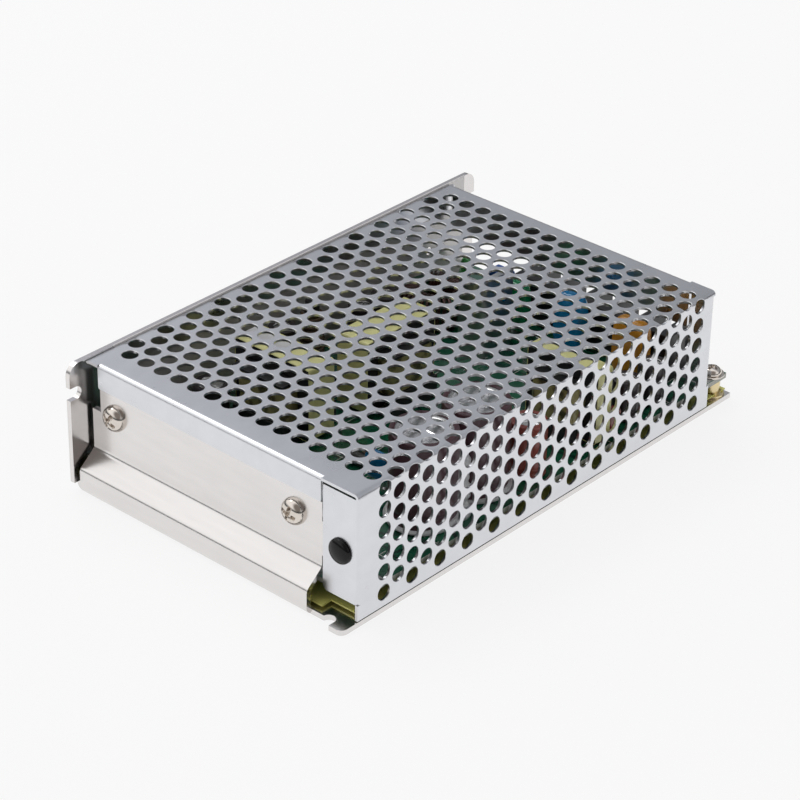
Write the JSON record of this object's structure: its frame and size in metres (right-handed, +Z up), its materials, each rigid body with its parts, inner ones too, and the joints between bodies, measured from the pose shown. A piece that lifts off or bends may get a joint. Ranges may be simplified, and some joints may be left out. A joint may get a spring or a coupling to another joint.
{
  "type": "enclosed dc-dc converter",
  "caption": "Enclosed dc-dc converter: board with transformers, capacitors and screw terminals in a folded sheet case with a perforated cover.",
  "frame": {"origin": "centre of the case's underside", "axes": "+Y along the length to the open terminal end, +X across to the perforated side, +Z up through the perforated top"},
  "size_m": [0.097, 0.159, 0.038],
  "materials": {
    "black_plastic": "moulded",
    "blue_coat": "dipped",
    "blue_plastic": "moulded",
    "board_laminate": "green solder mask",
    "brass_spacers": "turned",
    "bright_screws": "nickel plate",
    "can_metal": "drawn can",
    "chassis_sheet": "bare sheet with a satin surface",
    "copper_wire": "enamelled",
    "cover_sheet": "galvanised sheet",
    "dark_sleeve": "shrink sleeve",
    "ferrite": "sintered",
    "fuse_glass": "clear tube",
    "green_coat": "dipped",
    "green_lens": "clear green",
    "grey_silicone": "soft pad",
    "heat_metal": "cut sheet",
    "insulation_film": "thin yellow-green film",
    "mauve_sleeve": "shrink sleeve",
    "orange_coat": "dipped",
    "red_coat": "dipped",
    "resistor_coat": "coated",
    "tan_winding_tape": "polyester tape",
    "white_plastic": "moulded",
    "white_silicone": "cured bead",
    "yellow_tape": "polyester tape"
  },
  "bodies": {
    "case": {"chassis": "chassis_sheet", "cover": "cover_sheet", "end_wall_screws": "bright_screws", "push_rivet": "black_plastic", "cover_screws": "bright_screws", "insulation_sheet": "insulation_film", "circuit_board": "board_laminate", "board_standoffs": "brass_spacers", "board_screws": "bright_screws", "heat_spreader": "heat_metal", "device_pads": "grey_silicone", "power_devices": "black_plastic", "device_screws": "bright_screws", "rectifier": "black_plastic", "rectifier_heat_sink": "heat_metal", "terminal_block": "black_plastic", "terminal_clamps": "bright_screws", "terminal_washers": "bright_screws", "terminal_screws": "bright_screws", "trimmer_body": "blue_plastic", "power_led": "green_lens", "input_capacitor_cans": "can_metal", "input_capacitor_sleeves": "mauve_sleeve", "small_capacitors": "dark_sleeve", "silicone_bead": "white_silicone", "green_film_capacitor": "green_coat", "blue_film_capacitor": "blue_coat", "orange_film_capacitor": "orange_coat", "red_film_capacitor": "red_coat", "safety_disc_capacitor": "blue_coat", "box_capacitor": "black_plastic", "filter_choke_core": "ferrite", "filter_choke_windings": "copper_wire", "rod_choke_core": "ferrite", "rod_choke_winding": "copper_wire", "fuse": "fuse_glass", "fuse_clips": "bright_screws", "control_chips": "black_plastic", "optocouplers": "white_plastic", "resistors": "resistor_coat", "diodes": "black_plastic", "front_transformer_core": "ferrite", "front_transformer_tape": "yellow_tape", "front_transformer_bobbin": "black_plastic", "front_transformer_winding": "tan_winding_tape", "middle_transformer_core": "ferrite", "middle_transformer_tape": "yellow_tape", "middle_transformer_bobbin": "black_plastic", "middle_transformer_winding": "tan_winding_tape", "output_choke_core": "ferrite", "output_choke_tape": "yellow_tape", "output_choke_bobbin": "black_plastic", "output_choke_winding": "tan_winding_tape"},
    "trimmer": {"trimmer_rotor": "white_plastic"}
  },
  "joints": [
    {"name": "trimmer_turn", "type": "hinge", "parent": "case", "child": "trimmer", "pos_m": [-0.029, 0.075, 0.0118], "axis": [0, 1, 0], "range_deg": [-130, 130]}
  ]
}
